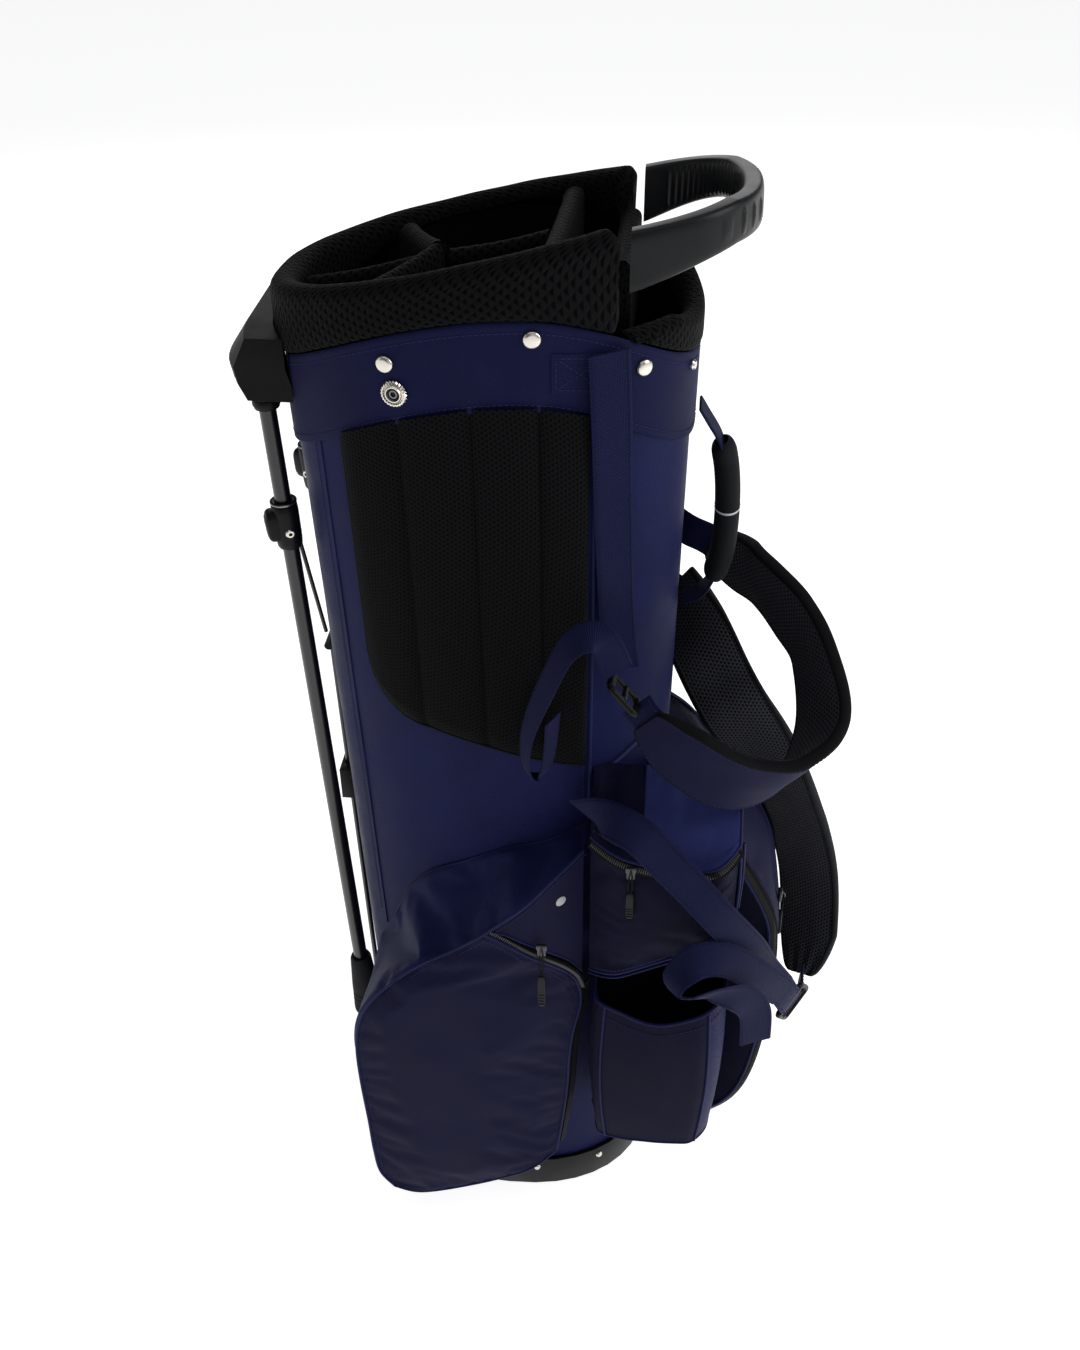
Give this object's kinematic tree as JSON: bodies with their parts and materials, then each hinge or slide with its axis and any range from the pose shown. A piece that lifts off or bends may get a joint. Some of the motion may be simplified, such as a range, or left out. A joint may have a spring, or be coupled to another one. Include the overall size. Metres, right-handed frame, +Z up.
{
  "type": "golf stand bag",
  "caption": "Golf bag with an oval club sleeve, padded divided top, handles, pockets, a shoulder strap and folding legs driven by a hinged foot plate.",
  "frame": {"origin": "middle of the flat underside, on the floor", "axes": "+Z up the club sleeve, +X towards the handles and the spine pockets, -X towards the legs"},
  "size_m": [0.4551, 0.3344, 0.9028],
  "materials": {
    "navy_fabric": "coated twill, soft sheen",
    "navy_webbing": "ribbed woven webbing",
    "air_mesh": "three-layer spacer mesh",
    "strap_mesh": "padded spacer mesh with a navy outer face",
    "lining": "plain thin lining",
    "moulded_black": "fine texture",
    "moulded_grey": "satin, fine texture",
    "buckle_plastic": "satin",
    "leg_tube": "gloss black enamel",
    "actuator_wire": "black enamel",
    "steel_rod": "plain",
    "nickel": "polished nickel plate",
    "shoe_rubber": "matte",
    "foam_grip": "closed-cell foam",
    "zip_metal": "dark plated metal with a moulded pull"
  },
  "bodies": {
    "bag": {"base_cup": "moulded_black", "foot_plate_pin": "steel_rod", "sleeve": "navy_fabric", "stay_rod_spine": "steel_rod", "stay_rod_left": "steel_rod", "stay_rod_right": "steel_rod", "collar_band": "navy_fabric", "cuff_frame": "moulded_black", "cuff_pad": "air_mesh", "putter_well_rim": "air_mesh", "divider_long_rear": "air_mesh", "divider_long_front": "air_mesh", "divider_chevron_left": "air_mesh", "divider_chevron_right": "air_mesh", "divider_cross": "air_mesh", "divider_bridge": "air_mesh", "divider_liners": "lining", "top_handle": "moulded_grey", "rivet_rear": "nickel", "rivet_middle": "nickel", "rivet_front": "nickel", "towel_eyelet": "nickel", "leg_housing": "moulded_grey", "leg_pin_right": "steel_rod", "leg_pin_left": "steel_rod", "rod_guide": "moulded_black", "hip_pad": "air_mesh", "cooler_pocket": "navy_fabric", "ball_pocket": "navy_fabric", "valuables_pocket": "navy_fabric", "drink_pouch": "navy_fabric", "apparel_pocket": "navy_fabric", "shoulder_strap_right": "strap_mesh", "shoulder_strap_left": "strap_mesh", "webbing_upper": "navy_webbing", "webbing_lower": "navy_webbing", "webbing_hub": "navy_webbing", "webbing_tail_upper": "navy_webbing", "webbing_tail_lower": "navy_webbing", "buckle_upper": "buckle_plastic", "buckle_lower": "buckle_plastic"},
    "leg_right": {"leg_head_right": "moulded_black", "leg_tube_right": "leg_tube", "leg_clamp_right": "moulded_black", "leg_foot_right": "shoe_rubber"},
    "leg_left": {"leg_head_left": "moulded_black", "leg_tube_left": "leg_tube", "leg_clamp_left": "moulded_black", "leg_foot_left": "shoe_rubber"},
    "link_right": {"link_right": "actuator_wire"},
    "link_left": {"link_left": "actuator_wire"},
    "push_rod": {"push_rod": "actuator_wire"},
    "foot_plate": {"foot_plate": "moulded_black"},
    "grab_handle": {"grab_webbing": "navy_webbing", "grab_grip": "foam_grip"},
    "cooler_slider": {"cooler_zip_slider": "zip_metal"},
    "ball_slider": {"ball_zip_slider": "zip_metal"},
    "valuables_slider": {"valuables_zip_slider": "zip_metal"},
    "apparel_slider": {"apparel_zip_slider": "zip_metal"}
  },
  "joints": [
    {"name": "leg_right_swing", "type": "hinge", "parent": "bag", "child": "leg_right", "pos_m": [-0.1465, -0.04, 0.7745], "axis": [-0.4226, 0.9063, 0], "range_deg": [0, 25], "stiffness_Nm_per_rad": 0.25, "springref_deg": -34.38},
    {"name": "leg_left_swing", "type": "hinge", "parent": "bag", "child": "leg_left", "pos_m": [-0.1465, 0.04, 0.7745], "axis": [0.4226, 0.9063, 0], "range_deg": [0, 25]},
    {"name": "link_right_pivot", "type": "hinge", "parent": "leg_right", "child": "link_right", "pos_m": [-0.13666, -0.0323, 0.63933], "axis": [0.5426, -0.823, -0.1681], "range_deg": [0, 61]},
    {"name": "link_left_pivot", "type": "hinge", "parent": "leg_left", "child": "link_left", "pos_m": [-0.13666, 0.0323, 0.63933], "axis": [-0.5426, -0.823, 0.1681], "range_deg": [0, 61]},
    {"name": "push_rod_lift", "type": "slide", "parent": "bag", "child": "push_rod", "axis": [-0.0219, 0, 0.9998], "range_m": [0, 0.0373]},
    {"name": "foot_plate_tilt", "type": "hinge", "parent": "bag", "child": "foot_plate", "pos_m": [-0.035, 0, 0.0048], "axis": [0, 1, 0], "range_deg": [0, 23.4]},
    {"name": "grab_handle_swing", "type": "hinge", "parent": "bag", "child": "grab_handle", "pos_m": [0.1376, 0, 0.666], "axis": [0.0231, 0, 0.9997], "range_deg": [-14, 14]},
    {"name": "cooler_zip", "type": "hinge", "parent": "bag", "child": "cooler_slider", "pos_m": [0.012, -0.15, 0.3], "axis": [0, 1, 0], "range_deg": [-29, 66]},
    {"name": "ball_zip", "type": "slide", "parent": "bag", "child": "ball_slider", "axis": [0, 0, -1], "range_m": [-0.02, 0.15]},
    {"name": "valuables_zip", "type": "slide", "parent": "bag", "child": "valuables_slider", "axis": [1, 0, 0], "range_m": [-0.015, 0.065]},
    {"name": "apparel_zip", "type": "slide", "parent": "bag", "child": "apparel_slider", "axis": [0, 0, -1], "range_m": [-0.03, 0.34]}
  ],
  "couplings": [
    {"joint": "leg_left_swing", "follows": "leg_right_swing", "ratio": 1},
    {"joint": "link_right_pivot", "follows": "leg_right_swing", "ratio": 2.43},
    {"joint": "link_left_pivot", "follows": "leg_right_swing", "ratio": 2.43},
    {"joint": "push_rod_lift", "follows": "leg_right_swing", "m_per_rad": 0.0853},
    {"joint": "foot_plate_tilt", "follows": "leg_right_swing", "ratio": 0.925}
  ]
}
